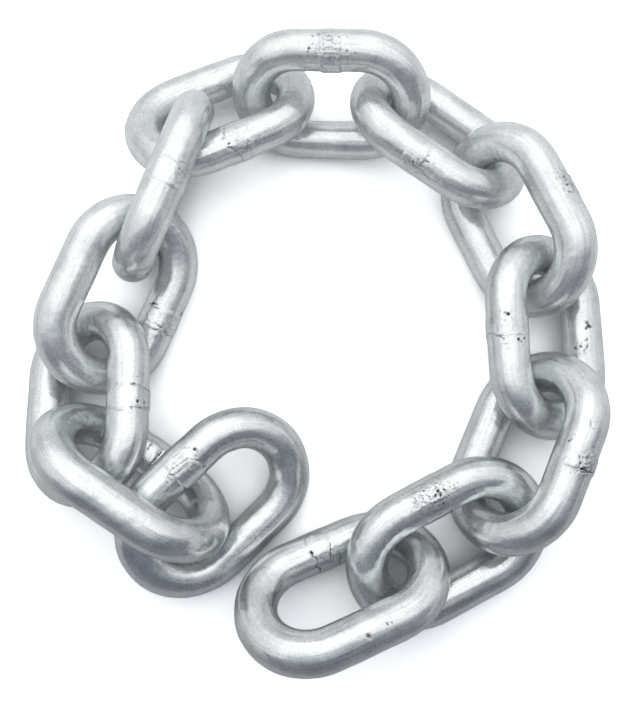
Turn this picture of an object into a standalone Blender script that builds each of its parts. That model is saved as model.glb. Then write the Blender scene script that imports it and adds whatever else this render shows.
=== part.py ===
"""A heap of short-link steel chain: thirteen galvanised links laid down in an open ring on a level floor."""

import math

import bpy
from mathutils import Vector

# The bar and the bent link, in metres.
BAR_DIAMETER = 0.010
INSIDE_LENGTH = 0.031
INSIDE_WIDTH = 0.015

# Centre line of the bar: two straight legs joined by two half-round crowns.
CROWN_RADIUS = (INSIDE_WIDTH + BAR_DIAMETER) / 2
HALF_LEG = (INSIDE_LENGTH - INSIDE_WIDTH) / 2
POINTS_PER_CROWN = 12

# 4 + 2 * BAR_RESOLUTION facets round the bar.
BAR_RESOLUTION = 4

# The butt weld: a low collar round the middle of one leg, with a tapered edge on each side.
WELD_LENGTH = 0.006
WELD_EDGE = 0.0015
WELD_SWELL = 0.0003

ZINC_COLOUR = (0.70, 0.72, 0.74, 1.0)
ZINC_ROUGHNESS = 0.32
ZINC_METALLIC = 1.0

# How each link lies, counted anticlockwise round the ring seen from above, from the free end at the front.
# x, y and lift are in millimetres: the middle of the link in plan, and the height of its lowest point above
# the floor where it lies across its neighbours. The angles are in degrees: heading of its long axis in plan,
# lean about that axis (positive raises the leg on the left of the heading), and nose, its far end up. The last
# entry is the leg that is welded, seen along the heading.
MM = 0.001
LEFT = 1
RIGHT = -1
LAY = (
    # x, y, lift, heading, lean, nose, weld
    (5.5, -58.0, 0.0, 22, -41, -10, LEFT),
    (30.5, -48.0, 1.0, 27, 25, -1, LEFT),
    (49.0, -26.5, 0.0, 66, -46, 0, RIGHT),
    (56.0, 1.5, 0.5, 92, 29, 4, LEFT),
    (49.0, 30.5, 0.0, 114, -52, -1, RIGHT),
    (31.0, 54.0, 0.5, 146, 33, 6, LEFT),
    (3.0, 63.0, 0.0, 175, -59, -7, RIGHT),
    (-25.5, 60.5, 2.5, 205, 23, 4, LEFT),
    (-38.5, 38.5, 0.0, 250, -107, -2, RIGHT),
    (-49.0, 11.5, 0.0, 247, -42, -5, LEFT),
    (-56.0, -14.5, 0.5, 273, 26, 7, LEFT),
    (-42.5, -33.5, 0.5, 326, -63, -10, LEFT),
    (-24.5, -38.5, 0.0, 44, 30, -2, LEFT),
)


def clear_scene():
    """Removes every object that the scene starts with."""
    for obj in list(bpy.data.objects):
        bpy.data.objects.remove(obj, do_unlink=True)


def zinc_material():
    """Bright hot-dip galvanising."""
    material = bpy.data.materials.new("galvanised_zinc")
    material.use_nodes = True
    shader = material.node_tree.nodes["Principled BSDF"]
    shader.inputs["Base Color"].default_value = ZINC_COLOUR
    shader.inputs["Roughness"].default_value = ZINC_ROUGHNESS
    shader.inputs["Metallic"].default_value = ZINC_METALLIC
    return material


def crown_points(centre_x, start_angle):
    """Points on one half-round crown, from one leg to the other, in the plane of the link, with their radius."""
    points = []
    for step in range(POINTS_PER_CROWN):
        angle = start_angle + math.pi * step / (POINTS_PER_CROWN - 1)
        x = centre_x + CROWN_RADIUS * math.cos(angle)
        y = CROWN_RADIUS * math.sin(angle)
        points.append((x, y, 1.0))
    return points


def weld_points(side):
    """Points along the welded leg, in the order in which the centre line runs through that leg."""
    swollen = 1.0 + WELD_SWELL / (BAR_DIAMETER / 2)
    edge = WELD_LENGTH / 2
    rim = edge - WELD_EDGE
    along = ((edge, 1.0), (rim, swollen), (-rim, swollen), (-edge, 1.0))
    return [(side * x, side * CROWN_RADIUS, radius) for x, radius in along]


def link_curve(material, weld_side):
    """The bar along its closed centre line, welded on the leg of that side."""
    curve = bpy.data.curves.new("link_welded_left" if weld_side == LEFT else "link_welded_right", "CURVE")
    curve.dimensions = "3D"
    curve.bevel_depth = BAR_DIAMETER / 2
    curve.bevel_resolution = BAR_RESOLUTION
    curve.materials.append(material)
    points = crown_points(HALF_LEG, -math.pi / 2)
    if weld_side == LEFT:
        points += weld_points(LEFT)
    points += crown_points(-HALF_LEG, math.pi / 2)
    if weld_side == RIGHT:
        points += weld_points(RIGHT)
    spline = curve.splines.new("POLY")
    spline.points.add(len(points) - 1)
    for point, (x, y, radius) in zip(spline.points, points):
        point.co = (x, y, 0.0, 1.0)
        point.radius = radius
    spline.use_cyclic_u = True
    spline.use_smooth = True
    return curve


def centre_height(lift, lean, nose):
    """Height of a tilted link's middle when its lowest point is the lift above the floor."""
    leg_rise = abs(math.sin(nose))
    cross_rise = math.cos(nose) * math.sin(lean)
    return BAR_DIAMETER / 2 + HALF_LEG * leg_rise + CROWN_RADIUS * math.hypot(leg_rise, cross_rise) + lift


def lay_link(number, curves, collection, ring, lay):
    """One link, set down at its place in the ring."""
    x, y, lift = (value * MM for value in lay[:3])
    heading, lean, nose = (math.radians(value) for value in lay[3:6])
    link = bpy.data.objects.new(f"link_{number:02d}", curves[lay[6]])
    link.location = (x, y, centre_height(lift, lean, nose))
    link.rotation_euler = (lean, -nose, heading)
    link.parent = ring
    collection.objects.link(link)
    return link


def centre_on_floor(ring, links):
    """Moves the ring so that the middle of its plan is over the origin and its lowest point at Z = 0."""
    bpy.context.view_layer.update()
    graph = bpy.context.evaluated_depsgraph_get()
    corners = []
    for link in links:
        evaluated = link.evaluated_get(graph)
        mesh = evaluated.to_mesh()
        corners += [evaluated.matrix_world @ vertex.co for vertex in mesh.vertices]
        evaluated.to_mesh_clear()
    low = Vector([min(corner[axis] for corner in corners) for axis in range(3)])
    high = Vector([max(corner[axis] for corner in corners) for axis in range(3)])
    middle = (low + high) / 2
    ring.location = (-middle.x, -middle.y, -low.z)


def main():
    clear_scene()
    collection = bpy.data.collections.new("chain_heap")
    bpy.context.scene.collection.children.link(collection)
    ring = bpy.data.objects.new("ring_centre", None)
    collection.objects.link(ring)
    zinc = zinc_material()
    curves = {side: link_curve(zinc, side) for side in (LEFT, RIGHT)}
    links = [lay_link(number, curves, collection, ring, lay) for number, lay in enumerate(LAY, start=1)]
    centre_on_floor(ring, links)


main()
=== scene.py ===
import bpy
import numpy as np
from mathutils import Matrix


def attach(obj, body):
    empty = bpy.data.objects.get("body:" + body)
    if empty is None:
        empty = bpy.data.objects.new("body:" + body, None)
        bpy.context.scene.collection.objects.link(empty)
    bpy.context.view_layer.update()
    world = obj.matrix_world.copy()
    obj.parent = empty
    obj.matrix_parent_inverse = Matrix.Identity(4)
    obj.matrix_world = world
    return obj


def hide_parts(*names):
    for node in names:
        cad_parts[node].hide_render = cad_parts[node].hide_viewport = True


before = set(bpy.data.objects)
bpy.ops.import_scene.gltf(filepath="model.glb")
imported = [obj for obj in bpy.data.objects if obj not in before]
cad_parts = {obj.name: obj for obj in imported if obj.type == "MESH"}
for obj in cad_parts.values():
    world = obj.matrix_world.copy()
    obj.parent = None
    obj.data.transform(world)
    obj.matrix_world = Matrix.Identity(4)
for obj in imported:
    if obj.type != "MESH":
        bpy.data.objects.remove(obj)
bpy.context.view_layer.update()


# The links: thirteen ovals of 10 mm round mild steel bar, bent hot round a former, butt welded in the middle of one
# leg and dipped in molten zinc, which leaves a pale skin with slow waves, fine grain and a few pits. Nothing fixes a
# link to the next: the bar of each passes through the eyes of its neighbours and lies loose on them and on the floor.
MM = 0.001
BAR_RADIUS = 0.0049
HALF_LENGTH_AT_BAR_MIDDLE = 0.0205
HALF_WIDTH_AT_BAR_MIDDLE = 0.0125
HALF_LEG = 0.008
BEND_START = 0.004
STEPS_ALONG = 400
STEPS_ROUND = 94
STEP_AT_WELD = 0.00011
STEP_ELSEWHERE = 0.00037
HALF_FINE_ZONE = 0.0048
HALF_FINE_SIDE = np.radians(66.0)
FIRST_SEED = 4000
PATTERN_SHIFT = 0.03
ZINC_BRIGHT = (0.830, 0.845, 0.848)
ZINC_DULL = (0.695, 0.715, 0.724)
ZINC_EDGE = (0.78, 0.82, 0.82)
GRAIN_SHADE = (0.25, 0.26, 0.28)
STREAK_SHADE = (0.30, 0.31, 0.34)
# PIT_DARK colours the dark specks of the shorn patches, the seam and the dark dents, and the painted shade in pits and
# grooves.
PIT_DARK = (0.030, 0.032, 0.037)


def inside(beyond, ease):
    """1 well inside an edge and 0 well beyond it, eased over a few times ease: one over one plus e to beyond / ease."""
    return 1.0 / (1.0 + np.exp(beyond / ease))


def running_sum(rate, step):
    """The area under rate from its first value to each of its values, which are step apart."""
    return np.concatenate([[0.0], np.cumsum(0.5 * (rate[1:] + rate[:-1]) * step)])


def bent_bar():
    """Middle line of the bent bar in the plane of the link, from the middle of the welded leg round both crowns.
    Its direction turns half a circle over each crown, at a rate that rises and falls evenly over BEND_START, and the
    line is the running sum of that direction. Sections stand closer together within HALF_FINE_ZONE of the weld.
    Returns the distance along the bar, the two coordinates of its middle, the direction away from the link, and the
    length of the whole bar."""
    fine_steps, zone_ease = 24000, 0.0005
    crown = np.pi * HALF_WIDTH_AT_BAR_MIDDLE
    half_round = 2.0 * HALF_LEG + crown
    s = np.linspace(0.0, 2.0 * half_round, fine_steps + 1)
    step = s[1]
    into_crown = np.minimum(s % half_round - HALF_LEG, HALF_LEG + crown - s % half_round)
    turning = np.clip(into_crown / BEND_START + 0.5, 0.0, 1.0) / HALF_WIDTH_AT_BAR_MIDDLE
    heading = running_sum(turning, step)
    heading *= 2.0 * np.pi / heading[-1]
    forward, sideways = np.cos(heading), np.sin(heading)
    along, across = running_sum(forward, step), -running_sum(sideways, step)
    along *= HALF_LENGTH_AT_BAR_MIDDLE / along.max()
    across = (across - 0.5 * across.min()) * -2.0 * HALF_WIDTH_AT_BAR_MIDDLE / across.min()
    from_weld = np.minimum(s, 2.0 * half_round - s)
    at_weld = inside(from_weld - HALF_FINE_ZONE, zone_ease)
    count = np.cumsum(1.0 / STEP_ELSEWHERE + (1.0 / STEP_AT_WELD - 1.0 / STEP_ELSEWHERE) * at_weld)
    at = np.interp(np.arange(STEPS_ALONG) / STEPS_ALONG * count[-1], count, s)
    middle = np.stack([np.interp(at, s, along), np.interp(at, s, across)], axis=1)
    outward = np.stack([np.interp(at, s, sideways), np.interp(at, s, forward)], axis=1)
    return at, middle, outward, 2.0 * half_round


def columns_round(seen):
    """Turns of the columns of points round the bar. They stand about twice as close together within HALF_FINE_SIDE of
    the side where the marks of the weld are seen as on the rest: the turns are the inverse of a running count."""
    fine_steps, extra_columns, side_ease = 3600, 1.3, np.radians(4.0)
    turn = np.linspace(-np.pi, np.pi, fine_steps + 1)
    count = np.cumsum(1.0 + extra_columns * inside(np.abs(turn) - HALF_FINE_SIDE, side_ease))
    count = (count - count[0]) / (count[-1] - count[0])
    return np.radians(seen) + np.interp(np.arange(STEPS_ROUND) / STEPS_ROUND, count, turn)


def zinc_skin(s, t, round_trip, dice):
    """Height of the zinc on the bar: a sum of sine waves, each with whole turns along the bar and round it, so that the
    skin closes on itself. Slow waves are zinc that ran and set, short ones its orange peel, and those that turn often
    round the bar but slowly along it are the marks of the mill's rollers."""
    slow = {"count": 16, "most_along": 14, "least_round": 0, "most_round": 3, "size": 0.000008}
    peel = {"count": 36, "most_along": 60, "least_round": 0, "most_round": 11, "size": 0.0000018}
    rolled = {"count": 20, "most_along": 3, "least_round": 6, "most_round": 20, "size": 0.0000040}
    height = np.zeros((len(s), len(t)))
    for kind in (slow, peel, rolled):
        for wave in range(kind["count"]):
            turns_along = dice.integers(-kind["most_along"], kind["most_along"] + 1)
            turns_round = dice.integers(kind["least_round"], kind["most_round"] + 1)
            start = dice.uniform(0.0, 2.0 * np.pi)
            phase = 2.0 * np.pi * turns_along * s[:, None] / round_trip + turns_round * t[None, :] + start
            height += kind["size"] * dice.uniform(0.5, 1.5) * np.sin(phase)
    return height


def ragged(t, dice, reach, most_turns):
    """A line that wanders round the bar: a sum of sines of whole turns, with a reach of about the given size."""
    line = np.zeros_like(t)
    for turns in range(1, most_turns + 1):
        line += dice.normal() * np.sin(turns * t + dice.uniform(0.0, 2.0 * np.pi)) / turns**0.5
    return (reach * line / np.abs(line).max())[None, :]


def uneven(along, t, dice):
    """An uneven field about the weld, mostly between -1 and 1: a sum of sine waves at all slants, each 0.7 mm or more
    long along the bar and 0.9 to 8 mm round it."""
    waves, steepest, fewest_round, most_round, usual_reach = 24, 9000.0, 4, 35, 5.0
    field = np.zeros((len(along), len(t)))
    for wave in range(waves):
        steepness = dice.uniform(-steepest, steepest)
        turns_round = dice.integers(fewest_round, most_round + 1)
        field += np.sin(steepness * along + turns_round * t[None, :] + dice.uniform(0.0, 2.0 * np.pi))
    return field / usual_reach


def turned_from(t, turn):
    """How far each column is turned from this turn, the shorter way round, from -pi to pi."""
    return ((t - turn + np.pi) % (2.0 * np.pi) - np.pi)[None, :]


def off_line(along, t, line):
    """Distance of each point of the skin from a line drawn on it: the least of its distances from the straight pieces
    between the points of the line, each given as its place along the bar in mm and its turn round it in degrees."""
    places, turns = np.array(line, dtype=float).T
    middle_turn = np.radians(turns.mean())
    places, turns = MM * places, (np.radians(turns) - middle_turn) * BAR_RADIUS
    round_it = turned_from(t, middle_turn) * BAR_RADIUS
    apart = np.full(along.shape, np.inf)
    for x, y, next_x, next_y in zip(places, turns, places[1:], turns[1:]):
        part = (along - x) * (next_x - x) + (round_it - y) * (next_y - y)
        part = np.clip(part / ((next_x - x) ** 2 + (next_y - y) ** 2), 0.0, 1.0)
        apart = np.minimum(apart, np.hypot(along - x - part * (next_x - x), round_it - y - part * (next_y - y)))
    return apart


def upset_collar(along, t, weld, dice):
    """Height and darkness of the weld itself. The two ends were pressed together hot, so the bar stands proud in a low
    plateau between two ragged edges, most of all on one side. On the side that isn't seen a plain seam runs round its
    middle: a bell across a ragged line."""
    edge_reach, edge_turns, edge_ease, bulge_reach, bulge_turns, lopsided = 0.0003, 6, 0.00014, 0.2, 7, 0.4
    seam_reach, seam_turns, seam_half_width, seam_depth, seam_darkness = 0.0004, 16, 0.00016, 0.00005, 0.35
    seam_growth, seam_delay = 1.5, 0.2
    first = MM * weld["edges"][0] + ragged(t, dice, edge_reach, edge_turns)
    last = MM * weld["edges"][1] + ragged(t, dice, edge_reach, edge_turns)
    plateau = inside(first - along, edge_ease) * inside(along - last, edge_ease)
    proud_side = np.cos(turned_from(t, np.radians(weld["proud_side"])))
    bulge = (1.0 - lopsided + lopsided * proud_side) * (1.0 + ragged(t, dice, bulge_reach, bulge_turns))
    height = MM * weld["proud"] * plateau * bulge
    seam_line = 0.5 * (first + last) + ragged(t, dice, seam_reach, seam_turns)
    unseen = np.clip(-seam_growth * np.cos(turned_from(t, np.radians(weld["seen"]))) - seam_delay, 0.0, 1.0)
    seam = unseen * np.exp(-(((along - seam_line) / seam_half_width) ** 2))
    return height - seam_depth * seam, seam_darkness * seam


def marks_on_lines(along, t, lines, dice):
    """Height and darkness of cracks, scratches and thin ridges: each a bell across its line, whose middle strays a
    little and whose strength waxes and wanes along it. The darkness given to the grooves is painted shade in them."""
    stray, usual, waxing, faintest, strongest = 0.00006, 0.9, 0.4, 0.25, 1.3
    height, dark = np.zeros((2, len(along), len(t)))
    strayed = along + stray * uneven(along, t, dice)
    strength = np.clip(usual + waxing * uneven(along, t, dice), faintest, strongest)
    for line, half_width, rise, darkness in lines:
        bell = strength * np.exp(-((off_line(strayed, t, line) / (MM * half_width)) ** 2))
        height += MM * rise * bell
        # Painted shade in the grooves of cracks and scratches; the ridges are given none.
        dark = np.maximum(dark, np.clip(darkness * bell, 0.0, 1.0))
    return height, dark


def shorn_patches(along, t, patches, dice):
    """Height, darkness and coarseness of the patches where the burr of the weld was shorn off. A patch fades out round
    the bar as a bell and ends more sharply along it. Its skin is hatched at the size of the grid, and has dents and
    bumps, small bells scattered about its middle, some of which are dark."""
    hatch_height, end_ease, dents_to_area, scatter, one_dark_in = 0.000045, 0.0003, 0.6, 0.6, 4
    least_size, most_size, deepest, highest, palest, darkest = 0.00012, 0.0004, -0.00006, 0.00004, 0.05, 0.4
    height, dark, coarse = np.zeros((3, len(along), len(t)))
    hatch = dice.normal(size=height.shape)
    hatch = 0.25 * (np.roll(hatch, 1, axis=0) + 2.0 * hatch + np.roll(hatch, -1, axis=0))
    for patch_place, patch_turn, reach, width, roughness in patches:
        fading = np.exp(-((np.degrees(turned_from(t, np.radians(patch_turn))) / width) ** 2))
        ending = inside(np.abs(along - MM * patch_place) - MM * reach, end_ease)
        coarse = np.maximum(coarse, roughness * fading * ending)
        for dent in range(int(dents_to_area * reach * width * roughness)):
            place = MM * (patch_place + dice.normal() * scatter * reach)
            turn = np.radians(patch_turn + dice.normal() * scatter * width)
            size = dice.uniform(least_size, most_size)
            spot = np.exp(-((along - place) ** 2 + (turned_from(t, turn) * BAR_RADIUS) ** 2) / size**2)
            height += dice.uniform(deepest, highest) * spot
            if dent % one_dark_in == 0:
                dark = np.maximum(dark, dice.uniform(palest, darkest) * spot)
    height += hatch_height * coarse * (hatch + np.roll(hatch, 1, axis=1))
    return height, dark, coarse


def pits(s, t, round_trip, places, dice):
    """Height and darkness of the pits: round dents, each a bell with a slightly uneven outline and a low rim. Its dark
    hollow is painted shade, a bell cut flat at the top, and the darker the deeper the pit. Each is given as its place
    along the bar, its turn round it, its size and its depth."""
    wobble_size, most_skew, least_squash, most_squash = 0.00006, 0.5, 0.6, 1.3
    rim_height, rim_at, rim_spread = 0.2, 1.7, 0.2
    hollow_strength, hollow_fall, hollow_end, fully_dark_from = 2.2, 1.2, 0.15, 0.11
    height, dark = np.zeros((2, len(s), len(t)))
    wobble = wobble_size * uneven(s[:, None], t, dice)
    for place, turn, size, depth in places:
        along = ((s - MM * place + 0.5 * round_trip) % round_trip - 0.5 * round_trip)[:, None]
        round_it = turned_from(t, np.radians(turn)) * BAR_RADIUS
        skew = dice.uniform(-most_skew, most_skew)
        squash = dice.uniform(least_squash, most_squash)
        far = ((along + wobble + skew * round_it) ** 2 + squash * round_it**2) / (MM * size) ** 2
        rim = rim_height * np.exp(-((np.sqrt(far) - rim_at) ** 2) / rim_spread)
        height += MM * depth * (rim - np.exp(-far))
        # Painted shade in the hollow of the pit, the darker the deeper the pit.
        hollow = np.clip(hollow_strength * np.exp(-hollow_fall * far) - hollow_end, 0.0, 1.0)
        dark = np.maximum(dark, min(1.0, depth / fully_dark_from) * hollow)
    return height, dark


def link_frame(solid):
    """Middle and the three directions of a link, read from its solid: along it, across it towards the welded leg, and
    square to its flat, pointing up. The spread of its corners gives the directions, the least spread being square to
    the flat, and halfway between the farthest corners of the crowns is the middle."""
    decimals, slack = 7, 0.0001
    corners = np.empty(3 * len(solid.data.vertices), np.float32)
    solid.data.vertices.foreach_get("co", corners)
    corners = np.unique(corners.reshape(-1, 3).round(decimals), axis=0).astype(float)
    mean = corners.mean(axis=0)
    square, across, along = np.linalg.eigh(np.cov((corners - mean).T))[1].T
    square = square * np.sign(square[2])
    between_crowns = corners[np.abs((corners - mean) @ along) < 0.5 * HALF_LEG]
    across = across * np.sign(((between_crowns - mean) @ across).sum())
    along = np.cross(across, square)
    directions = np.stack([along, across, square])
    turned = corners @ directions.T
    crowns = turned[np.abs(turned[:, 0] - mean @ along) > HALF_LEG - slack]
    return 0.5 * (crowns.min(axis=0) + crowns.max(axis=0)), directions


def swept_faces():
    """Four-sided faces of the bar: each joins a point to the next in its section and to the same two of the next
    section, and the last section and column join on to the first."""
    row, column = np.meshgrid(np.arange(STEPS_ALONG), np.arange(STEPS_ROUND), indexing="ij")
    next_row, next_column = (row + 1) % STEPS_ALONG, (column + 1) % STEPS_ROUND
    corners = ((row, column), (row, next_column), (next_row, next_column), (next_row, column))
    return np.stack([r * STEPS_ROUND + c for r, c in corners], axis=2).reshape(-1, 4)


def node(tree, kind, inputs, **options):
    """Adds a node of this kind to a material and gives its outputs. Its inputs are plain values or the outputs of
    earlier nodes, and its options are its own settings, such as its operation."""
    made = tree.nodes.new(kind)
    for option, value in options.items():
        setattr(made, option, value)
    for name, value in inputs.items():
        socket = made.inputs[name]
        if isinstance(value, bpy.types.NodeSocket):
            tree.links.new(value, socket)
        elif socket.type == "RGBA":
            socket.default_value = (*value, 1.0)
        else:
            socket.default_value = value
    return made.outputs


def spread(tree, value, least, most, low=0.0, high=1.0, ease="LINEAR"):
    """A number from low to high, in step with value from least to most."""
    limits = {"From Min": least, "From Max": most, "To Min": low, "To Max": high}
    return node(tree, "ShaderNodeMapRange", {"Value": value, **limits}, interpolation_type=ease)["Result"]


def joined(tree, operation, first, second):
    """Two numbers joined by an operation of arithmetic."""
    return node(tree, "ShaderNodeMath", {0: first, 1: second}, operation=operation)["Value"]


def tinted(tree, amount, low, high, kind="MIX"):
    """The colour low where amount is 0 and high where it is 1, or low multiplied by high by that much."""
    return node(tree, "ShaderNodeMix", {"Factor": amount, 6: low, 7: high}, data_type="RGBA", blend_type=kind)[2]


def galvanised_zinc(name, bloom):
    """Zinc on steel: a metal whose colour drifts with its bright and dull patches, and darkens in grain, streaks and
    weld lines, with painted shade in its pits and in the grooves of its cracks and scratches. Its gloss drifts too, and
    crystals, streaks along the bar, grain and scale are raised in it. The share of it that is under a pale bloom of
    zinc salts is matt instead of mirror-like."""
    zinc = bpy.data.materials.new(name)
    zinc.use_nodes = True
    tree = zinc.node_tree
    tree.nodes.clear()

    def cloudy(place, clouds_to_the_metre, detail, roughness):
        """Cloudy noise with this many clouds to the metre."""
        look = {"Scale": clouds_to_the_metre, "Detail": detail, "Roughness": roughness}
        return node(tree, "ShaderNodeTexNoise", {"Vector": place, **look})["Fac"]

    place = node(tree, "ShaderNodeTexCoord", {})["Object"]
    on_bar = node(tree, "ShaderNodeAttribute", {}, attribute_name="on_bar")["Vector"]
    dark = node(tree, "ShaderNodeAttribute", {}, attribute_name="dark")["Fac"]
    coarse = node(tree, "ShaderNodeAttribute", {}, attribute_name="coarse")["Fac"]
    drawn_out = node(tree, "ShaderNodeMapping", {"Vector": on_bar, "Scale": (0.045, 1.0, 1.0)})["Vector"]
    patches = cloudy(place, clouds_to_the_metre=190.0, detail=3.0, roughness=0.55)
    scale = cloudy(place, clouds_to_the_metre=1300.0, detail=4.0, roughness=0.8)
    streaks = cloudy(drawn_out, clouds_to_the_metre=1400.0, detail=4.0, roughness=0.65)
    grain = cloudy(place, clouds_to_the_metre=2100.0, detail=2.0, roughness=0.7)
    frosting = cloudy(place, clouds_to_the_metre=9000.0, detail=1.0, roughness=0.6)
    crystals = node(tree, "ShaderNodeTexVoronoi", {"Vector": place, "Scale": 560.0})["Distance"]

    colour = tinted(tree, spread(tree, patches, 0.35, 0.65), ZINC_DULL, ZINC_BRIGHT)
    colour = tinted(tree, spread(tree, grain, 0.36, 0.52, low=0.18, high=0.0), colour, GRAIN_SHADE, "MULTIPLY")
    colour = tinted(tree, spread(tree, streaks, 0.35, 0.5, low=0.19, high=0.0), colour, STREAK_SHADE, "MULTIPLY")
    specks = joined(tree, "MULTIPLY", spread(tree, scale, 0.47, 0.40), spread(tree, coarse, 0.1, 0.8, high=0.8))
    colour = tinted(tree, specks, colour, PIT_DARK)
    # dark holds the seam's dark line and the dark dents of the shorn patches, and painted shade in the pits and in the
    # grooves of cracks and scratches.
    colour = tinted(tree, dark, colour, PIT_DARK)

    gloss = spread(tree, frosting, 0.46, 0.60, low=0.10, high=0.42)
    gloss = joined(tree, "ADD", gloss, spread(tree, patches, 0.35, 0.65, low=-0.03, high=0.05))
    gloss = joined(tree, "ADD", gloss, spread(tree, dark, 0.0, 1.0, high=0.3))

    crystal_height, streak_height, grain_height, scale_height = 0.00002, 0.00006, 0.00001, 0.00014
    relief = node(tree, "ShaderNodeBump", {"Height": crystals, "Distance": crystal_height})["Normal"]
    scaly = joined(tree, "MULTIPLY", scale, coarse)
    for raised, height in ((streaks, streak_height), (grain, grain_height), (scaly, scale_height)):
        relief = node(tree, "ShaderNodeBump", {"Height": raised, "Distance": height, "Normal": relief})["Normal"]

    look = {"Base Color": colour, "Roughness": gloss, "Normal": relief, "Specular Tint": ZINC_EDGE}
    metal = node(tree, "ShaderNodeBsdfPrincipled", {"Metallic": 1.0 - bloom, **look})
    node(tree, "ShaderNodeOutputMaterial", {"Surface": metal["BSDF"]})
    return zinc
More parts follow.
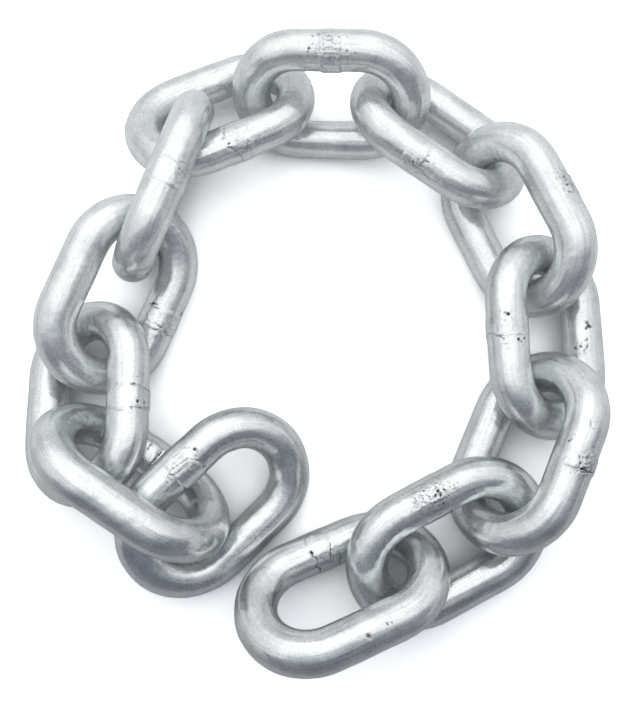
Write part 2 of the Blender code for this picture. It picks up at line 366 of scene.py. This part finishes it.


# The thirteen links one by one, with places in mm along the bar from the middle of the welded leg and turns in degrees
# round it from its outer side. For each link: the share of its skin under a pale bloom; the side of the weld that is
# seen; the edges of the upset, how far it stands proud and on which side most; the lines on it, as their points of
# place and turn, half width, rise or fall in mm and darkness, which on the grooves is painted shade; its rough patches,
# as place, turn, reach along the bar, width round it and roughness; and the pits that show most, as place, turn, size
# and depth in mm, the depth also setting the painted shade in each pit.
LINKS = {
    "link_01": {
        "bloom": 0.05,
        "seen": 128,
        "edges": (-1.4, 1.6),
        "proud": 0.12,
        "proud_side": 150,
        "lines": (
            (((-3.2, 122), (-3.0, 126), (-3.3, 134), (-2.6, 144)), 0.17, -0.26, 1),
            (((-2.6, 144), (-2.4, 155), (-3.2, 167)), 0.12, -0.13, 0.6),
            (((-3.2, 167), (-2.2, 179), (-2.5, 197)), 0.15, -0.21, 1),
            (((1.9, 122), (1.3, 137)), 0.12, -0.13, 0.55),
            (((1.3, 137), (0.8, 161)), 0.13, -0.16, 0.85),
            (((0.5, 117), (-0.1, 136), (1.0, 141)), 0.12, 0.07, 0),
            (((2.3, 148), (1.8, 167)), 0.14, 0.07, 0),
            (((3.2, 157), (2.5, 213)), 0.2, -0.09, 0.55),
            (((4.0, 157), (3.5, 180)), 0.14, 0.07, 0),
            (((4.7, 161), (4.1, 184)), 0.14, 0.07, 0),
            (((-2.9, 72), (-3.5, 96)), 0.25, -0.07, 0.25),
            (((-3.7, 119), (-4.0, 129)), 0.16, -0.05, 0.2),
        ),
        "rough": ((1.5, 147, 3.4, 34, 0.35),),
        "pits": (
            (-3.1, 124, 0.3, 0.15), (-3.2, 167, 0.24, 0.12), (-1.3, 147, 0.22, 0.07), (-54.6, 49, 0.42, 0.25),
            (51.3, 57, 0.22, 0.1), (50.2, 53, 0.2, 0.08),
        ),
    },
    "link_02": {
        "bloom": 0.05,
        "seen": 62,
        "edges": (-3.4, 3.6),
        "proud": 0.14,
        "proud_side": 60,
        "lines": (
            (((-4.6, 76), (-3.0, 69), (-1.1, 71), (0.7, 71), (2.5, 74)), 0.17, 0.09, 0),
            (((-1.0, 78), (0.5, 79), (2.2, 81)), 0.11, -0.07, 0.5),
            (((-1.5, 85), (0.1, 88), (1.9, 90)), 0.11, -0.07, 0.5),
            (((-1.4, 95), (0.0, 101), (1.7, 102)), 0.11, -0.07, 0.5),
            (((-4.0, 89), (-3.3, 93)), 0.12, -0.08, 0.6),
            (((-1.4, 70), (-2.5, 104)), 0.12, -0.05, 0.3),
            (((2.5, 75), (1.5, 102)), 0.11, -0.05, 0.35),
            (((-2.5, 20), (-4.3, 54)), 0.14, -0.04, 0.2),
        ),
        "rough": ((-0.1, 54, 4.2, 30, 0.8), (4.3, 60, 3.0, 22, 0.5)),
        "pits": (
            (1.9, 54, 0.34, 0.2), (2.1, 67, 0.3, 0.18), (1.0, 62, 0.3, 0.16), (3.3, 58, 0.28, 0.11),
            (-0.8, 36, 0.28, 0.09), (1.7, 46, 0.18, 0.08), (3.6, 77, 0.2, 0.08), (1.8, 90, 0.22, 0.1),
            (5.8, 60, 0.24, 0.05), (1.9, 60, 0.16, 0.08), (0.4, 61, 0.16, 0.06), (-2.1, 40, 0.22, 0.05),
            (-0.6, 19, 0.2, 0.05), (2.5, 33, 0.2, 0.05), (6.8, 58, 0.2, 0.05), (7.2, 43, 0.2, 0.05),
            (-4.1, 54, 0.2, 0.05), (-5.6, 71, 0.18, 0.05), (0.4, 113, 0.16, 0.06),
        ),
    },
    "link_03": {
        "bloom": 0.1,
        "seen": 58,
        "edges": (-2.6, 1.3),
        "proud": 0.16,
        "proud_side": 345,
        "lines": (
            (((-1.2, 49), (-0.5, 44), (0.4, 40), (1.2, 40)), 0.15, -0.2, 0.85),
            (((1.7, 27), (1.1, 10), (0.1, -21)), 0.15, -0.18, 0.9),
            (((1.7, 76), (1.7, 66), (1.8, 56), (1.4, 40)), 0.15, -0.08, 0.3),
            (((3.1, 56), (2.1, 46), (1.6, 33)), 0.12, -0.07, 0.35),
            (((-1.5, 42), (0.3, 34)), 0.12, -0.07, 0.35),
            (((-1.9, 32), (-0.8, 26)), 0.15, -0.09, 0.5),
            (((-0.9, 9), (0.4, 7)), 0.16, 0.07, 0),
            (((-3.4, 32), (-1.9, 44), (-1.2, 48)), 0.14, -0.05, 0.2),
            (((-4.5, 39), (-3.7, 35)), 0.12, -0.05, 0.3),
            (((-9.2, 52), (-7.9, 48)), 0.18, -0.08, 0.5),
        ),
        "rough": ((-0.8, 18, 2.6, 22, 1.0), (1.8, 43, 1.6, 16, 0.5)),
        "pits": (
            (0.1, 41, 0.24, 0.09), (0.9, 28, 0.38, 0.1), (1.2, 33, 0.3, 0.12), (1.1, 21, 0.24, 0.1),
            (-4.3, 23, 0.24, 0.06), (3.4, 28, 0.18, 0.05), (-3.8, 87, 0.24, 0.1), (-4.3, 83, 0.18, 0.08),
            (-7.9, 40, 0.18, 0.05),
        ),
    },
    "link_04": {
        "bloom": 0.1,
        "seen": 47,
        "edges": (-0.9, 3.9),
        "proud": 0.2,
        "proud_side": 335,
        "lines": (
            (((-0.6, -36), (0.1, -14), (0.0, 1), (-0.8, 15), (-1.1, 26), (-1.8, 36)), 0.24, -0.12, 0.4),
            (((-0.2, 30), (-0.9, 42), (-1.5, 34)), 0.12, 0.05, 0),
            (((-2.8, 30), (-3.0, 46)), 0.12, -0.07, 0.35),
            (((4.5, 41), (4.1, 52)), 0.2, -0.13, 0.7),
            (((5.5, 6), (3.2, 4)), 0.18, -0.04, 0.15),
        ),
        "rough": ((1.3, 44, 4.0, 22, 0.35), (-52.3, 138, 1.8, 16, 0.9)),
        "pits": (
            (4.1, 52, 0.34, 0.18), (-1.9, 76, 0.36, 0.11), (-1.6, 96, 0.3, 0.12), (-2.4, 84, 0.24, 0.07),
            (3.3, 7, 0.22, 0.06), (-3.1, 91, 0.16, 0.04), (3.3, 59, 0.16, 0.04), (1.4, 34, 0.2, 0.03),
            (52.0, 121, 0.4, 0.2), (52.9, 118, 0.46, 0.24), (53.4, 125, 0.34, 0.15), (53.1, 112, 0.3, 0.12),
            (-54.3, 127, 0.32, 0.14), (-52.4, 159, 0.3, 0.12), (-52.7, 144, 0.22, 0.08), (-52.6, 126, 0.3, 0.12),
            (-52.0, 131, 0.2, 0.07), (-51.6, 137, 0.18, 0.06), (-53.1, 151, 0.2, 0.06), (-51.8, 155, 0.16, 0.05),
        ),
    },
    "link_05": {
        "bloom": 0.28,
        "seen": 63,
        "edges": (-2.0, 3.4),
        "proud": 0.14,
        "proud_side": 330,
        "lines": (
            (((-1.3, 340), (0.4, 348), (1.8, 338)), 0.22, -0.07, 0.2),
            (((2.6, 53), (2.9, 36), (2.6, 25)), 0.16, 0.07, 0),
            (((-2.9, 31), (-1.8, 39), (-1.4, 23)), 0.14, -0.05, 0.25),
            (((2.4, 28), (3.0, 15)), 0.16, -0.12, 0.6),
            (((0.9, -3), (2.8, 13)), 0.13, -0.07, 0.35),
            (((0.4, 53), (1.7, 57)), 0.2, -0.04, 0.18),
        ),
        "rough": ((-0.3, 16, 3.4, 26, 0.8),),
        "pits": (
            (0.8, 18, 0.28, 0.1), (-1.3, 18, 0.22, 0.07), (1.1, 4, 0.18, 0.07), (-1.4, 352, 0.22, 0.06),
            (1.5, 33, 0.18, 0.05), (-2.7, 7, 0.2, 0.05), (-3.8, 346, 0.22, 0.05), (-3.0, 14, 0.2, 0.04),
            (-0.3, 16, 0.2, 0.04), (3.1, 351, 0.18, 0.04), (-1.2, 37, 0.18, 0.03),
        ),
    },
    "link_06": {
        "bloom": 0.23,
        "seen": 32,
        "edges": (-0.6, 4.4),
        "proud": 0.16,
        "proud_side": 350,
        "lines": (
            (((1.7, 10), (1.4, 1), (0.6, -5), (-0.3, -4)), 0.17, 0.1, 0),
            (((1.2, 12), (0.9, 4), (0.0, 1)), 0.15, -0.1, 0.45),
            (((0.9, 15), (0.4, 9), (-0.5, 7)), 0.17, 0.1, 0),
            (((0.5, 21), (-0.1, 15), (-0.8, 14)), 0.15, -0.09, 0.4),
            (((-1.3, 8), (-2.8, 5), (-3.8, 4), (-5.1, 3), (-6.2, 5), (-7.7, 6)), 0.2, 0.14, 0),
            (((-0.7, 18), (-1.1, 27), (-1.8, 31)), 0.17, -0.12, 0.7),
            (((-1.4, 3), (-2.8, -4), (-4.4, -6), (-6.0, -3)), 0.18, -0.08, 0.4),
            (((-2.0, 29), (-3.1, 10)), 0.15, -0.07, 0.3),
            (((3.4, 356), (2.5, 329)), 0.16, 0.07, 0),
            (((2.6, 9), (1.3, -15)), 0.13, 0.05, 0),
            (((0.6, 347), (-0.5, 312)), 0.13, 0.05, 0),
            (((2.8, 357), (1.8, 339)), 0.3, -0.04, 0.25),
        ),
        "rough": ((-0.3, 7, 2.6, 18, 0.5),),
        "pits": (
            (-1.1, 46, 0.22, 0.06), (-4.2, 68, 0.16, 0.05), (-3.3, 35, 0.2, 0.04),
        ),
    },
    "link_07": {
        "bloom": 0.26,
        "seen": 62,
        "edges": (-1.4, 3.6),
        "proud": 0.3,
        "proud_side": 120,
        "lines": (
            (((-0.6, 7), (-0.2, 58)), 0.13, 0.07, 0),
            (((3.2, -3), (3.7, 57)), 0.13, 0.07, 0),
            (((0.2, 22), (1.5, 23)), 0.26, -0.07, 0.35),
            (((0.2, 39), (3.5, 38)), 0.13, -0.05, 0.25),
            (((1.7, 46), (3.5, 45)), 0.18, -0.07, 0.35),
            (((4.3, 47), (8.6, 47)), 0.18, -0.04, 0.18),
            (((-0.2, 57), (1.9, 57)), 0.13, -0.07, 0.4),
            (((-0.2, 62), (4.1, 61)), 0.13, -0.07, 0.45),
            (((0.1, 73), (3.1, 73)), 0.22, -0.05, 0.35),
            (((-2.2, 77), (-0.5, 77)), 0.13, 0.07, 0),
            (((3.8, 77), (6.0, 77)), 0.13, 0.07, 0),
            (((3.7, 60), (3.5, 116)), 0.12, -0.04, 0.25),
            (((-2.0, 56), (-2.0, 79)), 0.16, -0.04, 0.25),
            (((5.5, 78), (5.4, 101)), 0.13, -0.04, 0.3),
            (((-1.1, 101), (-0.6, 117)), 0.2, -0.09, 0.6),
            (((2.6, 106), (3.5, 107)), 0.18, -0.07, 0.35),
        ),
        "rough": ((1.4, 38, 2.6, 34, 0.6), (-2.1, 53, 2.4, 30, 0.35), (1.9, 89, 1.6, 30, 0.35)),
        "pits": (
            (-3.9, 59, 0.3, 0.1), (-3.0, 47, 0.26, 0.06), (-4.1, 68, 0.2, 0.07), (-4.2, 78, 0.18, 0.06),
            (7.3, 71, 0.2, 0.09), (5.3, 65, 0.34, 0.07), (3.2, 26, 0.24, 0.07), (-3.2, 22, 0.36, 0.04),
            (-1.8, 17, 0.36, 0.04), (5.1, 22, 0.34, 0.03), (-2.2, 103, 0.18, 0.06), (-6.3, 43, 0.26, 0.03),
            (1.3, 82, 0.14, 0.03),
        ),
    },
    "link_08": {
        "bloom": 0.18,
        "seen": 41,
        "edges": (-2.4, 3.3),
        "proud": 0.18,
        "proud_side": 330,
        "lines": (
            (((3.5, 35), (2.6, 27), (1.8, 15), (1.0, -1), (0.5, -33)), 0.25, -0.1, 0.4),
            (((-4.8, 32), (-4.3, 13)), 0.18, -0.08, 0.4),
            (((-3.8, 29), (-3.3, 10)), 0.3, -0.05, 0.25),
            (((-2.0, 26), (-1.9, 13)), 0.14, -0.05, 0.3),
            (((-1.8, 1), (-1.6, -32)), 0.14, -0.05, 0.3),
            (((-0.8, 36), (-0.2, 18)), 0.16, -0.05, 0.25),
            (((3.3, 39), (1.5, 31)), 0.16, 0.07, 0),
            (((1.8, 3), (2.6, -21)), 0.13, 0.05, 0),
            (((2.0, 104), (3.8, 62)), 0.34, -0.07, 0.35),
        ),
        "rough": ((-1.7, 17, 3.0, 26, 0.45),),
        "pits": (
            (2.9, 44, 0.28, 0.1), (-1.9, 16, 0.18, 0.05), (-2.8, 66, 0.18, 0.04), (-0.4, 80, 0.18, 0.04),
            (-7.6, 44, 0.18, 0.04),
        ),
    },
    "link_09": {
        "bloom": 0.23,
        "seen": -2,
        "edges": (-1.5, 3.7),
        "proud": 0.2,
        "proud_side": 320,
        "lines": (
            (((-2.3, 28), (-2.3, 8), (-1.9, -9), (-2.6, -32), (-3.0, -56)), 0.22, -0.05, 0.18),
            (((-2.5, 341), (-3.4, 307)), 0.15, 0.07, 0),
            (((-0.2, 346), (3.1, 332)), 0.22, 0.07, 0),
            (((0.8, 335), (2.9, 324)), 0.16, -0.05, 0.3),
            (((2.9, 326), (1.9, 313)), 0.16, -0.07, 0.3),
            (((0.0, 308), (-0.5, 294)), 0.14, -0.05, 0.3),
            (((-2.5, 342), (0.9, 326)), 0.14, -0.04, 0.2),
        ),
        "rough": ((-0.6, 317, 2.6, 18, 0.4),),
        "pits": (
            (-0.6, 334, 0.22, 0.06), (-0.2, 281, 0.26, 0.07), (4.9, 349, 0.26, 0.03), (-2.5, 50, 0.2, 0.05),
        ),
    },
    "link_10": {
        "bloom": 0.25,
        "seen": 116,
        "edges": (-1.0, 4.1),
        "proud": 0.18,
        "proud_side": 150,
        "lines": (
            (((-1.4, 162), (-1.8, 142)), 0.2, -0.17, 0.95),
            (((3.0, 151), (3.0, 134), (2.8, 120)), 0.13, -0.05, 0.3),
            (((3.0, 113), (3.2, 103), (3.2, 94)), 0.18, -0.14, 0.75),
            (((3.6, 88), (3.8, 74)), 0.16, -0.1, 0.55),
            (((4.5, 77), (3.9, 50), (4.2, 39)), 0.15, -0.12, 0.65),
            (((3.6, 87), (6.5, 68)), 0.14, -0.05, 0.3),
            (((1.2, 89), (3.9, 72)), 0.2, -0.05, 0.2),
            (((-1.5, 90), (2.7, 66)), 0.16, 0.05, 0),
            (((1.3, 160), (2.9, 150)), 0.2, -0.08, 0.5),
        ),
        "rough": ((4.2, 97, 1.8, 20, 0.9), (1.2, 67, 3.2, 22, 0.3)),
        "pits": (
            (-1.6, 155, 0.34, 0.14), (-2.1, 50, 0.42, 0.09), (1.7, 45, 0.22, 0.08), (2.4, 99, 0.2, 0.08),
            (2.6, 70, 0.16, 0.05), (-3.3, 33, 0.16, 0.04), (4.3, 101, 0.26, 0.06), (3.9, 93, 0.2, 0.05),
            (5.0, 94, 0.2, 0.05),
        ),
    },
    "link_11": {
        "bloom": 0.1,
        "seen": 51,
        "edges": (-0.8, 4.7),
        "proud": 0.24,
        "proud_side": 335,
        "lines": (
            (((-0.8, 43), (-1.0, 31)), 0.22, -0.12, 0.6),
            (((-0.5, 20), (-0.1, -1), (-0.1, -26)), 0.2, -0.12, 0.5),
            (((-0.1, 334), (1.9, 335)), 0.2, -0.09, 0.45),
            (((0.5, 350), (3.2, 345)), 0.2, -0.07, 0.35),
            (((4.2, 121), (4.5, 105), (4.9, 83)), 0.15, -0.09, 0.45),
            (((5.3, 83), (5.4, 60)), 0.15, -0.08, 0.4),
            (((6.0, 60), (6.0, 42)), 0.15, -0.05, 0.25),
            (((5.8, 83), (5.9, 60)), 0.13, 0.07, 0),
            (((4.7, 23), (3.9, -26)), 0.13, -0.07, 0.4),
            (((4.2, 38), (3.9, 23)), 0.14, -0.04, 0.2),
        ),
        "rough": ((2.3, 13, 3.0, 22, 0.4),),
        "pits": (
            (3.2, 25, 0.38, 0.2), (4.9, 41, 0.22, 0.06), (4.7, 17, 0.22, 0.08), (4.8, 29, 0.16, 0.05),
            (3.2, 5, 0.32, 0.06), (-1.0, 81, 0.22, 0.05), (-2.7, 26, 0.18, 0.05), (-1.6, 351, 0.2, 0.05),
            (0.1, 343, 0.24, 0.08), (6.1, 118, 0.18, 0.05),
        ),
    },
    "link_12": {
        "bloom": 0.05,
        "seen": 134,
        "edges": (-2.2, 0.5),
        "proud": 0.12,
        "proud_side": 120,
        "lines": (
            (((-1.8, 137), (-1.8, 129), (-1.7, 113)), 0.16, -0.13, 0.8),
            (((1.2, 112), (1.3, 129), (1.1, 158)), 0.16, -0.13, 0.8),
        ),
        "rough": (),
        "pits": (
            (18.5, 75, 0.22, 0.1), (23.0, 60, 0.18, 0.08),
        ),
    },
    "link_13": {
        "bloom": 0.05,
        "seen": 68,
        "edges": (-2.2, 3.8),
        "proud": 0.18,
        "proud_side": 110,
        "lines": (
            (((0.3, 35), (2.2, 38)), 0.13, -0.07, 0.35),
            (((1.2, 49), (2.1, 53)), 0.16, -0.07, 0.35),
            (((0.8, 64), (2.6, 66)), 0.16, -0.07, 0.3),
            (((-1.8, 59), (0.7, 62), (2.7, 65)), 0.18, -0.07, 0.35),
            (((-2.8, 71), (-0.4, 75), (2.0, 76)), 0.2, -0.08, 0.4),
            (((1.2, 94), (2.2, 95), (3.4, 93)), 0.16, 0.11, 0),
            (((1.0, 96), (2.2, 101), (3.4, 102)), 0.14, -0.08, 0.5),
            (((5.5, 65), (5.1, 72), (4.5, 77)), 0.2, -0.09, 0.45),
            (((3.0, 72), (3.9, 87), (4.4, 96), (4.4, 106), (4.1, 116)), 0.2, -0.08, 0.45),
            (((3.4, 32), (4.6, 47)), 0.13, -0.08, 0.5),
            (((-4.0, 72), (-3.8, 63), (-3.2, 57), (-2.4, 59), (-2.0, 67)), 0.18, 0.12, 0),
            (((-3.5, 73), (-3.3, 65), (-2.7, 63), (-2.4, 69)), 0.16, -0.12, 0.5),
            (((-3.0, 76), (-2.8, 70)), 0.18, 0.1, 0),
            (((-1.8, 58), (-2.4, 60)), 0.16, -0.08, 0.4),
        ),
        "rough": ((1.2, 63, 2.8, 22, 0.3), (2.3, 84, 2.4, 16, 0.5)),
        "pits": (
            (5.2, 60, 0.38, 0.2), (4.1, 114, 0.3, 0.06), (-1.2, 56, 0.22, 0.06), (-0.1, 101, 0.3, 0.05),
            (-0.5, 2, 0.22, 0.07), (3.4, 142, 0.3, 0.06), (0.9, 77, 0.2, 0.06),
        ),
    },
}

bar_at, bar_middle, bar_outward, bar_round_trip = bent_bar()
bar_faces = swept_faces().tolist()
from_weld = (bar_at - bar_round_trip * (bar_at > 0.5 * bar_round_trip))[:, None]
for number, (name, marks) in enumerate(LINKS.items(), start=1):
    dice = np.random.default_rng(FIRST_SEED + number)
    bar_turn = columns_round(marks["seen"])
    radius = BAR_RADIUS + zinc_skin(bar_at, bar_turn, bar_round_trip, dice)
    collar, dark_seam = upset_collar(from_weld, bar_turn, marks, dice)
    scores, dark_scores = marks_on_lines(from_weld, bar_turn, marks["lines"], dice)
    shorn, dark_shorn, coarse = shorn_patches(from_weld, bar_turn, marks["rough"], dice)
    dents, dark_dents = pits(bar_at, bar_turn, bar_round_trip, marks["pits"], dice)
    radius += collar + scores + shorn + dents
    # dark: the seam's dark line and the dark dents of the shorn patches, with painted shade in the pits and in the
    # grooves of cracks and scratches.
    dark = np.max([dark_seam, dark_scores, dark_shorn, dark_dents], axis=0)
    out, up = np.cos(bar_turn) * radius, np.sin(bar_turn) * radius
    along, across = (bar_middle[:, None, axis] + out * bar_outward[:, None, axis] for axis in (0, 1))
    middle, directions = link_frame(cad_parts[name])
    points = (np.stack([along, across, up], axis=2).reshape(-1, 3) + middle) @ directions
    mesh = bpy.data.meshes.new(name + "_zinc")
    mesh.from_pydata(points, [], bar_faces)
    mesh.shade_smooth()
    section = np.cos(bar_turn) * BAR_RADIUS, np.sin(bar_turn) * BAR_RADIUS
    on_bar = np.stack(np.broadcast_arrays(bar_at[:, None], *section), axis=2) + PATTERN_SHIFT * number
    mesh.attributes.new("on_bar", "FLOAT_VECTOR", "POINT").data.foreach_set("vector", on_bar.astype(np.float32).ravel())
    mesh.attributes.new("dark", "FLOAT", "POINT").data.foreach_set("value", dark.astype(np.float32).ravel())
    mesh.attributes.new("coarse", "FLOAT", "POINT").data.foreach_set("value", coarse.astype(np.float32).ravel())
    mesh.materials.append(galvanised_zinc(name + "_galvanised", marks["bloom"]))
    link = bpy.data.objects.new(name + "_zinc", mesh)
    bpy.context.scene.collection.objects.link(link)
    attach(link, "root")
    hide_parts(name)


# The studio: a pale matt floor in a small light tent. Its low roof glows most a little behind the ring, and is a dim
# slate at the front, which the bars show as a dark band; the floor in front lies in shade as well, and the paper's
# colour is darker there too, as painted shade. For the lens alone the light grey paper is painted brighter, to read as
# white, where it lies open to the sky, but not in the gaps between the bars, which keep a painted shade.
# Painted light and shade on the paper, by how far to the back it lies: darkest at the front, lightest a little behind
# the middle of the ring.
PAPER_PAINTED_LIGHT_AND_SHADE = (
    (-0.45, (0.52, 0.52, 0.54)),
    (-0.10, (0.585, 0.585, 0.60)),
    (0.03, (0.87, 0.87, 0.88)),
    (0.12, (0.81, 0.81, 0.82)),
)
# Painted light: the colour the lens sees on the paper where it lies open to the sky, brighter than any paper.
PAPER_PAINTED_LIGHT_FOR_LENS = (1.80, 1.80, 1.80)
LIFTED_FROM, LIFTED_WHOLLY = 0.16, 0.36
GAP_WIDTH = 0.04
WHITE_FROM, WHITE_WHOLLY = 0.12, 0.32
WALL_SHADES = (
    (-0.75, (0.22, 0.23, 0.26)),
    (-0.30, (0.66, 0.68, 0.70)),
    (1.00, (0.74, 0.76, 0.77)),
)
BACKDROP = (1.0, 1.0, 1.0)
ROOF_HEIGHT = 0.25
ROOF_HALF_WIDTH = 0.8
ROOF_GLOW = (
    (0.10, (1.55, 1.56, 1.55)),
    (0.29, (1.00, 1.02, 1.02)),
    (0.55, (0.82, 0.84, 0.85)),
)
ROOF_DIMMED = (
    (-0.45, (0.17, 0.18, 0.22)),
    (-0.24, (0.26, 0.27, 0.32)),
    (-0.12, (0.58, 0.60, 0.64)),
    (-0.085, (1.0, 1.0, 1.0)),
)
BRIGHTEST_SPOT = (-0.03, 0.13, ROOF_HEIGHT)
TO_THE_BACK = (0.0, 1.0, 0.0)
TO_THE_BACK_SLANTED = (-0.2, 1.0, 0.0)


def shades(tree, measure, steps):
    """A colour that goes through steps of (measure, colour), eased from each to the next."""
    colour = steps[0][1]
    for (start, _), (end, next_colour) in zip(steps, steps[1:]):
        colour = tinted(tree, spread(tree, measure, start, end, ease="SMOOTHSTEP"), colour, next_colour)
    return colour


def measured(tree, place, operation, other):
    """How far place lies along other, with DOT_PRODUCT, or how far it is from other, with DISTANCE."""
    return node(tree, "ShaderNodeVectorMath", {0: place, 1: other}, operation=operation)["Value"]


def matt_paper():
    """Light grey paper, darker towards the front as painted shade. For the lens alone it is painted brighter where it
    is open to the sky, which is where at least LIFTED_FROM of the directions are clear within GAP_WIDTH, so that the
    gaps between the bars keep a painted shade, and it has a plain white glow far off, so that it runs into the
    backdrop."""
    paper = bpy.data.materials.new("matt_paper")
    paper.use_nodes = True
    tree = paper.node_tree
    tree.nodes.clear()
    place = node(tree, "ShaderNodeTexCoord", {})["Object"]
    for_lens = node(tree, "ShaderNodeLightPath", {})["Is Camera Ray"]
    sky = node(tree, "ShaderNodeAmbientOcclusion", {"Distance": GAP_WIDTH}, samples=8)["AO"]
    # Painted light for the lens where the paper is open to the sky, which leaves painted shade in the gaps between the
    # bars.
    painted_light_for_lens = joined(tree, "MULTIPLY", spread(tree, sky, LIFTED_FROM, LIFTED_WHOLLY, ease="SMOOTHSTEP"), for_lens)
    # Painted shade on the paper towards the front, and painted light a little behind the middle of the ring.
    painted_light_and_shade = shades(tree, measured(tree, place, "DOT_PRODUCT", TO_THE_BACK), PAPER_PAINTED_LIGHT_AND_SHADE)
    matt = node(tree, "ShaderNodeBsdfDiffuse", {"Color": tinted(tree, painted_light_for_lens, painted_light_and_shade, PAPER_PAINTED_LIGHT_FOR_LENS)})["BSDF"]
    far_off = measured(tree, place, "DISTANCE", (0.0, 0.0, 0.0))
    white = joined(tree, "MULTIPLY", spread(tree, far_off, WHITE_FROM, WHITE_WHOLLY, ease="SMOOTHSTEP"), for_lens)
    glow = node(tree, "ShaderNodeEmission", {"Strength": white})["Emission"]
    node(tree, "ShaderNodeOutputMaterial", {"Surface": node(tree, "ShaderNodeAddShader", {0: matt, 1: glow})[0]})
    return paper


def lit_cloth():
    """Cloth that glows most round one point and less with the distance from it, dimmed in steps towards the front."""
    cloth = bpy.data.materials.new("lit_cloth")
    cloth.use_nodes = True
    tree = cloth.node_tree
    tree.nodes.clear()
    place = node(tree, "ShaderNodeTexCoord", {})["Object"]
    glow = shades(tree, measured(tree, place, "DISTANCE", BRIGHTEST_SPOT), ROOF_GLOW)
    dimmed = shades(tree, measured(tree, place, "DOT_PRODUCT", TO_THE_BACK_SLANTED), ROOF_DIMMED)
    light = node(tree, "ShaderNodeEmission", {"Color": tinted(tree, 1.0, glow, dimmed, "MULTIPLY")})["Emission"]
    node(tree, "ShaderNodeOutputMaterial", {"Surface": light})
    return cloth


def disc_of_floor():
    """A flat disc round the middle of the ring of chain: a face in the middle, and bands of faces between rings of
    points at growing radii."""
    radii, count = np.array([0.3, 0.8, 1.6, 3.0]), 64
    here = np.arange(count)
    beside = (here + 1) % count
    turn = 2.0 * np.pi * here / count
    rings = radii[:, None, None] * np.stack([np.cos(turn), np.sin(turn), 0.0 * turn], axis=1)
    band = np.stack([here, here + count, beside + count, beside], axis=1)
    bands = band + count * np.arange(len(radii) - 1)[:, None, None]
    return rings.reshape(-1, 3), [here.tolist(), *bands.reshape(-1, 4).tolist()]


def studio_sheet(name, points, faces, material):
    """A flat sheet of the studio, which isn't part of the chain."""
    mesh = bpy.data.meshes.new(name)
    mesh.from_pydata(points, [], faces)
    mesh.materials.append(material)
    sheet = bpy.data.objects.new(name, mesh)
    bpy.context.scene.collection.objects.link(sheet)
    return sheet


studio_sheet("pale_floor", *disc_of_floor(), matt_paper())
roof_reach = (ROOF_HALF_WIDTH, ROOF_HALF_WIDTH, ROOF_HEIGHT)
roof_corners = np.array([(-1, -1, 1), (-1, 1, 1), (1, 1, 1), (1, -1, 1)]) * roof_reach
roof = studio_sheet("tent_roof", roof_corners, [(0, 1, 2, 3)], lit_cloth())
roof.visible_camera = False

world = bpy.data.worlds.new("pale_walls")
world.use_nodes = True
bpy.context.scene.world = world
tree = world.node_tree
direction = node(tree, "ShaderNodeTexCoord", {})["Generated"]
walls = shades(tree, measured(tree, direction, "DOT_PRODUCT", TO_THE_BACK), WALL_SHADES)
for_lens = node(tree, "ShaderNodeLightPath", {})["Is Camera Ray"]
tree.links.new(tinted(tree, for_lens, walls, BACKDROP), tree.nodes["Background"].inputs["Color"])

# The camera stands 20 cm above the floor and 4 cm in front of the middle of the ring, tilted a little to the back.
lens = bpy.data.cameras.new("lens")
lens.lens = 39.86
lens.sensor_width = 36.0
lens.clip_start = 0.01
camera = bpy.data.objects.new("camera", lens)
camera.location = (0.000201, -0.041819, 0.199515)
camera.rotation_euler = (0.1944, 0.0, 0.0)
bpy.context.scene.collection.objects.link(camera)
bpy.context.scene.camera = camera
bpy.context.scene.view_settings.view_transform = "Standard"
bpy.context.scene.cycles.glossy_bounces = 10
